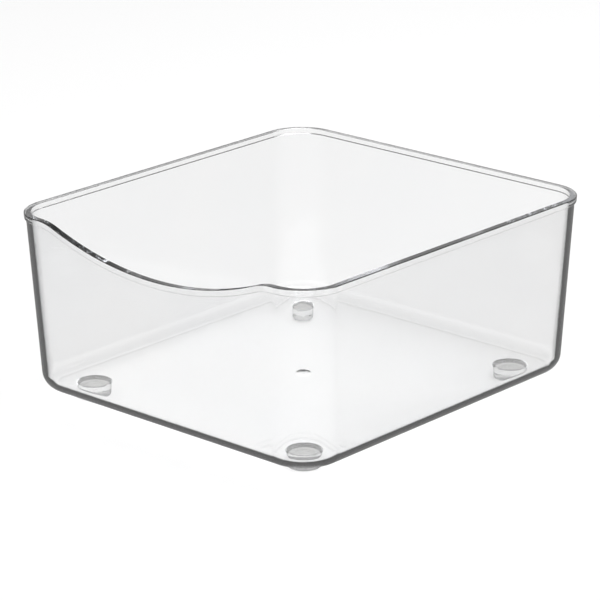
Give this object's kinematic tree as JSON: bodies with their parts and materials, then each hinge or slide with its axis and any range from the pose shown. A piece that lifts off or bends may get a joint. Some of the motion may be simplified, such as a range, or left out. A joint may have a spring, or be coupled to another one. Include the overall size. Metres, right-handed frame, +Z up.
{
  "type": "fridge bin",
  "caption": "Open clear plastic storage bin with drafted walls, a rolled rim lip and a scooped front wall, standing on stick-on feet.",
  "frame": {"origin": "on the surface that the bin stands on, under the middle of the bin", "axes": "+Z up; -Y is the front, the side whose wall is scooped; +X is to the right for someone facing the front"},
  "size_m": [0.222, 0.2392, 0.1095],
  "materials": {
    "clear_bin_plastic": "clear, glossy, smooth",
    "clear_foot_rubber": "clear, soft, slightly satin",
    "clear_adhesive": "clear, slightly milky"
  },
  "bodies": {
    "root": {"bin_shell": "clear_bin_plastic", "foot_front_left": "clear_foot_rubber", "foot_front_right": "clear_foot_rubber", "foot_rear_left": "clear_foot_rubber", "foot_rear_right": "clear_foot_rubber", "foot_adhesive_front_left": "clear_adhesive", "foot_adhesive_front_right": "clear_adhesive", "foot_adhesive_rear_left": "clear_adhesive", "foot_adhesive_rear_right": "clear_adhesive"}
  },
  "joints": []
}
